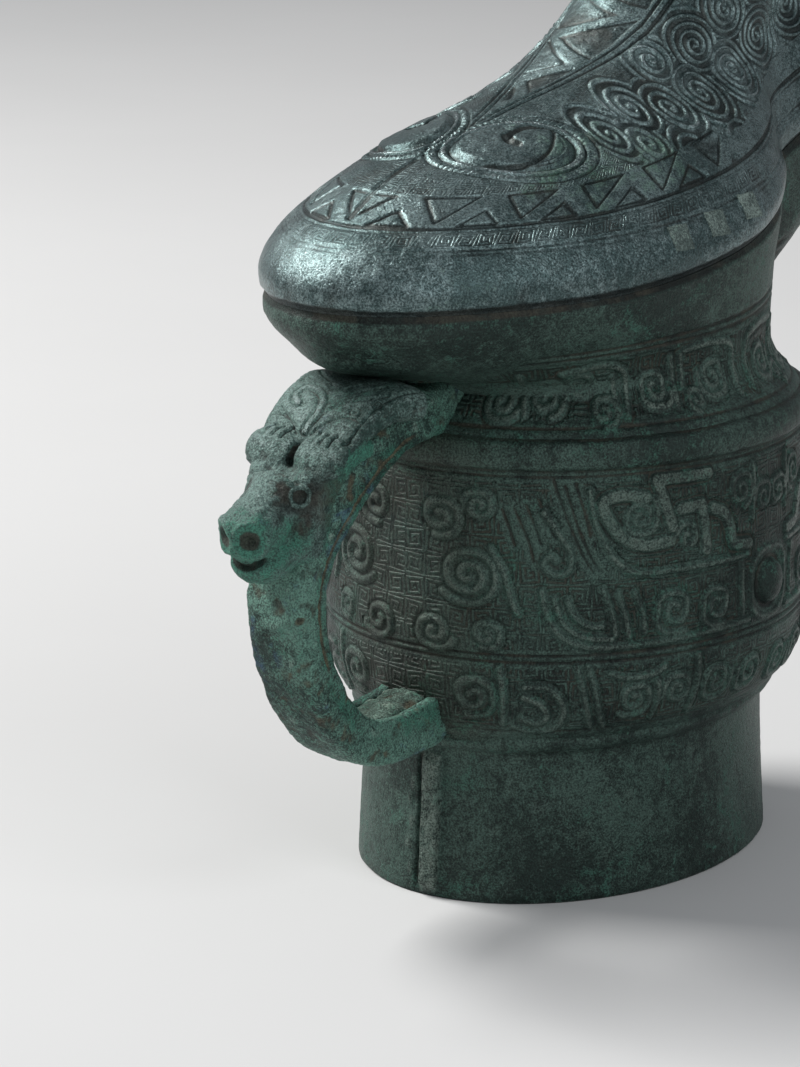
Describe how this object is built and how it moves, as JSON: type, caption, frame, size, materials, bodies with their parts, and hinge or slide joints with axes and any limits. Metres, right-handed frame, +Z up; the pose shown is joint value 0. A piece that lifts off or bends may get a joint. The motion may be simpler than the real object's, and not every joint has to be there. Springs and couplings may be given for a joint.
{
  "type": "bronze gong vessel",
  "caption": "Bronze gong pouring vessel: oval ring foot, band-girdled belly, narrow rising spout, ox-head loop handle and a lift-off lid that rises to a horned beast's head.",
  "frame": {"origin": "the middle of the whole along X and Y, on the plane that the ring foot stands on", "axes": "+X runs from the handle to the spout, +Y is the vessel's left flank as seen from behind the handle, +Z is up"},
  "size_m": [0.2962, 0.135, 0.3248],
  "materials": {
    "vessel_bronze": "matt dark green patina over cast bronze",
    "lid_bronze": "grey-green patina with a worn satin sheen",
    "handle_bronze": "matt green patina with blue-green patches",
    "spacer_bronze": "pale green patina",
    "fired_clay": "matt unglazed fired clay"
  },
  "bodies": {
    "vessel": {"vessel_body": "vessel_bronze", "handle_strap": "handle_bronze", "handle_core": "fired_clay", "handle_ox_head": "handle_bronze", "floor_spacer_1": "spacer_bronze", "floor_spacer_2": "spacer_bronze", "floor_spacer_3": "spacer_bronze", "floor_spacer_4": "spacer_bronze"},
    "lid": {"lid_shell": "lid_bronze", "lid_head": "lid_bronze", "lid_head_core": "fired_clay", "horn_left": "lid_bronze", "horn_right": "lid_bronze", "lid_spacer_1": "spacer_bronze", "lid_spacer_2": "spacer_bronze", "lid_spacer_3": "spacer_bronze", "lid_spacer_4": "spacer_bronze", "lid_spacer_5": "spacer_bronze", "lid_spacer_6": "spacer_bronze"}
  },
  "joints": [
    {"name": "lid_lift", "type": "slide", "parent": "vessel", "child": "lid", "axis": [0, 0, 1], "range_m": [0, 0.08]}
  ]
}
